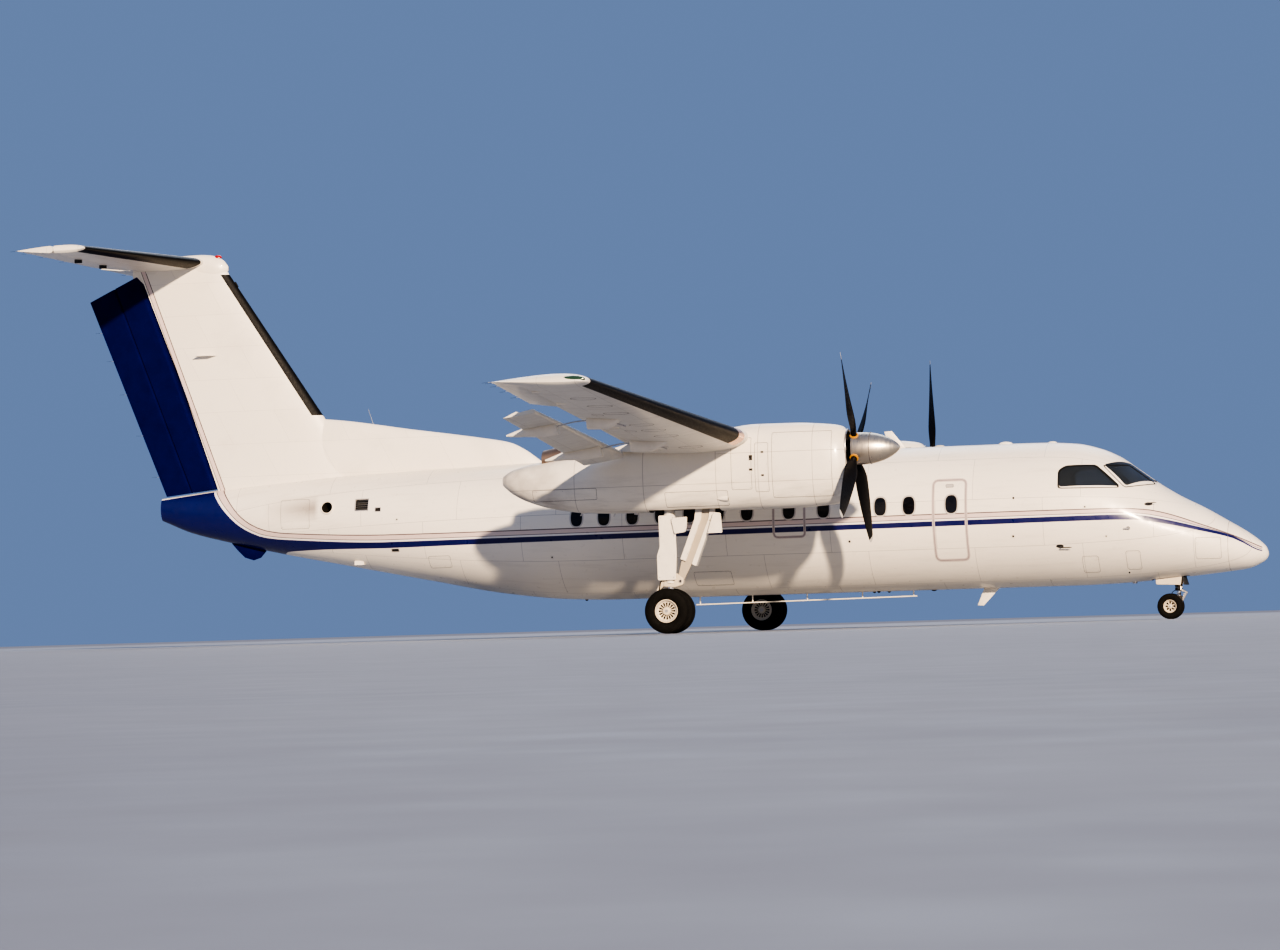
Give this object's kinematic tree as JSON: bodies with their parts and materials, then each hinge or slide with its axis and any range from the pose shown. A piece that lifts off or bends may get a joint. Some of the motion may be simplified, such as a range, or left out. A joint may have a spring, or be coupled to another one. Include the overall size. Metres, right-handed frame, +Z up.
{
  "type": "turboprop airliner",
  "caption": "Twin-propeller airliner with a high wing, T-tail and twin-wheel landing gear, standing with its flaps partly lowered.",
  "frame": {"origin": "on the ground, below the middle of the length and span", "axes": "+X to the nose, +Y to the left wing tip, +Z up"},
  "size_m": [22.2506, 25.91, 7.455],
  "materials": {
    "white_paint": "gloss off-white paint",
    "blue_paint": "gloss deep blue paint",
    "window_glass": "clear laminated glass",
    "tyre_rubber": "matt black rubber",
    "wheel_enamel": "cream enamel on alloy",
    "spinner_metal": "satin polished alloy",
    "blade_composite": "semi-gloss black composite",
    "engine_metal": "plain machined metal",
    "exhaust_metal": "heat-stained sheet steel",
    "gear_steel": "grey enamel and bright piston",
    "seat_fabric": "dark upholstery",
    "cockpit_trim": "matt dark grey panel"
  },
  "bodies": {
    "root": {"radome": "white_paint", "cockpit_section": "white_paint", "windscreen_right": "window_glass", "windscreen_left": "window_glass", "side_window_right": "window_glass", "side_window_left": "window_glass", "instrument_panel": "cockpit_trim", "pilot_seat_right": "seat_fabric", "pilot_seat_left": "seat_fabric", "forward_fuselage": "white_paint", "centre_fuselage": "white_paint", "wing_fairing": "white_paint", "rear_fuselage": "white_paint", "tail_cone": "blue_paint", "fin": "white_paint", "tailplane": "white_paint", "wing_centre": "white_paint", "wing_outer_right": "white_paint", "wing_outer_left": "white_paint", "nacelle_right": "white_paint", "nacelle_left": "white_paint", "engine_right": "engine_metal", "engine_left": "engine_metal", "exhaust_right": "exhaust_metal", "exhaust_left": "exhaust_metal", "main_leg_right": "white_paint", "main_leg_left": "white_paint", "nose_strut": "gear_steel", "belly_aerial": "white_paint"},
    "propeller_right_body": {"propeller_right": "blade_composite", "spinner_right": "spinner_metal"},
    "main_wheels_right": {"main_wheel_right_rims": "wheel_enamel", "main_wheel_right_tyre_outer": "tyre_rubber", "main_wheel_right_tyre_inner": "tyre_rubber"},
    "elevator_right_body": {"elevator_right": "white_paint"},
    "aileron_right_body": {"aileron_right": "white_paint"},
    "flap_outer_right_body": {"flap_outer_right": "white_paint"},
    "flap_inner_right_body": {"flap_inner_right": "white_paint"},
    "propeller_left_body": {"propeller_left": "blade_composite", "spinner_left": "spinner_metal"},
    "main_wheels_left": {"main_wheel_left_rims": "wheel_enamel", "main_wheel_left_tyre_outer": "tyre_rubber", "main_wheel_left_tyre_inner": "tyre_rubber"},
    "elevator_left_body": {"elevator_left": "white_paint"},
    "aileron_left_body": {"aileron_left": "white_paint"},
    "flap_outer_left_body": {"flap_outer_left": "white_paint"},
    "flap_inner_left_body": {"flap_inner_left": "white_paint"},
    "nose_steering": {"nose_steered_leg": "gear_steel"},
    "nose_wheels": {"nose_wheel_rims": "wheel_enamel", "nose_wheel_tyre_outer": "tyre_rubber", "nose_wheel_tyre_inner": "tyre_rubber"},
    "rudder_fore_body": {"rudder_fore": "blue_paint"},
    "rudder_rear_body": {"rudder_rear": "blue_paint"},
    "airstair": {"airstair_door": "white_paint"}
  },
  "joints": [
    {"name": "propeller_right_spin", "type": "hinge", "parent": "root", "child": "propeller_right_body", "pos_m": [4.46, -3.935, 3.1], "axis": [1, 0, 0], "continuous": true},
    {"name": "propeller_left_spin", "type": "hinge", "parent": "root", "child": "propeller_left_body", "pos_m": [4.46, 3.935, 3.1], "axis": [1, 0, 0], "continuous": true},
    {"name": "main_wheels_right_spin", "type": "hinge", "parent": "root", "child": "main_wheels_right", "pos_m": [1.075, -3.935, 0.394], "axis": [0, 1, 0], "continuous": true},
    {"name": "main_wheels_left_spin", "type": "hinge", "parent": "root", "child": "main_wheels_left", "pos_m": [1.075, 3.935, 0.394], "axis": [0, 1, 0], "continuous": true},
    {"name": "nose_steering_turn", "type": "hinge", "parent": "root", "child": "nose_steering", "pos_m": [9.505, 0, 0.6], "axis": [0, 0, 1], "range_deg": [-60, 60]},
    {"name": "nose_wheels_spin", "type": "hinge", "parent": "nose_steering", "child": "nose_wheels", "pos_m": [9.355, 0, 0.229], "axis": [0, 1, 0], "continuous": true},
    {"name": "rudder_fore_swing", "type": "hinge", "parent": "root", "child": "rudder_fore_body", "pos_m": [-8.69499, 0, 2.95], "axis": [-0.3332, 0, 0.9428], "range_deg": [-18, 18]},
    {"name": "rudder_rear_swing", "type": "hinge", "parent": "rudder_fore_body", "child": "rudder_rear_body", "pos_m": [-9.195, 0, 2.95], "axis": [-0.3471, 0, 0.9378], "range_deg": [-18, 18]},
    {"name": "elevator_right_swing", "type": "hinge", "parent": "root", "child": "elevator_right_body", "pos_m": [-10.26873, -0.17, 7.3], "axis": [-0.0149, -0.9999, 0], "range_deg": [-20, 20]},
    {"name": "elevator_left_swing", "type": "hinge", "parent": "root", "child": "elevator_left_body", "pos_m": [-10.26873, 0.17, 7.3], "axis": [0.0149, -0.9999, 0], "range_deg": [-20, 20]},
    {"name": "aileron_right_swing", "type": "hinge", "parent": "root", "child": "aileron_right_body", "pos_m": [0.84048, -10.33, 3.76198], "axis": [0.0087, -0.997, 0.0774], "range_deg": [-20, 20]},
    {"name": "aileron_left_swing", "type": "hinge", "parent": "root", "child": "aileron_left_body", "pos_m": [0.84048, 10.33, 3.76198], "axis": [-0.0087, -0.997, -0.0774], "range_deg": [-20, 20]},
    {"name": "flap_outer_right_slide", "type": "hinge", "parent": "root", "child": "flap_outer_right_body", "pos_m": [0.96599, -4.5, 1.41415], "axis": [-0.0002, -0.9965, 0.0836], "range_deg": [-15, 20]},
    {"name": "flap_outer_left_slide", "type": "hinge", "parent": "root", "child": "flap_outer_left_body", "pos_m": [0.96599, 4.5, 1.41415], "axis": [0.0002, -0.9965, -0.0836], "range_deg": [-15, 20]},
    {"name": "flap_inner_right_slide", "type": "hinge", "parent": "root", "child": "flap_inner_right_body", "pos_m": [0.96604, -1.42, 1.40886], "axis": [0, -1, 0], "range_deg": [-15, 20]},
    {"name": "flap_inner_left_slide", "type": "hinge", "parent": "root", "child": "flap_inner_left_body", "pos_m": [0.96604, 1.42, 1.40886], "axis": [0, -1, 0], "range_deg": [-15, 20]},
    {"name": "airstair_swing", "type": "hinge", "parent": "root", "child": "airstair", "pos_m": [5.775, 0.99, 1.07], "axis": [-1, 0, 0], "range_deg": [0, 125]}
  ],
  "couplings": [
    {"joint": "rudder_rear_swing", "follows": "rudder_fore_swing", "ratio": 1},
    {"joint": "elevator_left_swing", "follows": "elevator_right_swing", "ratio": 1},
    {"joint": "aileron_left_swing", "follows": "aileron_right_swing", "ratio": -1},
    {"joint": "flap_outer_left_slide", "follows": "flap_outer_right_slide", "ratio": 1},
    {"joint": "flap_inner_right_slide", "follows": "flap_outer_right_slide", "ratio": 1},
    {"joint": "flap_inner_left_slide", "follows": "flap_outer_right_slide", "ratio": 1}
  ]
}
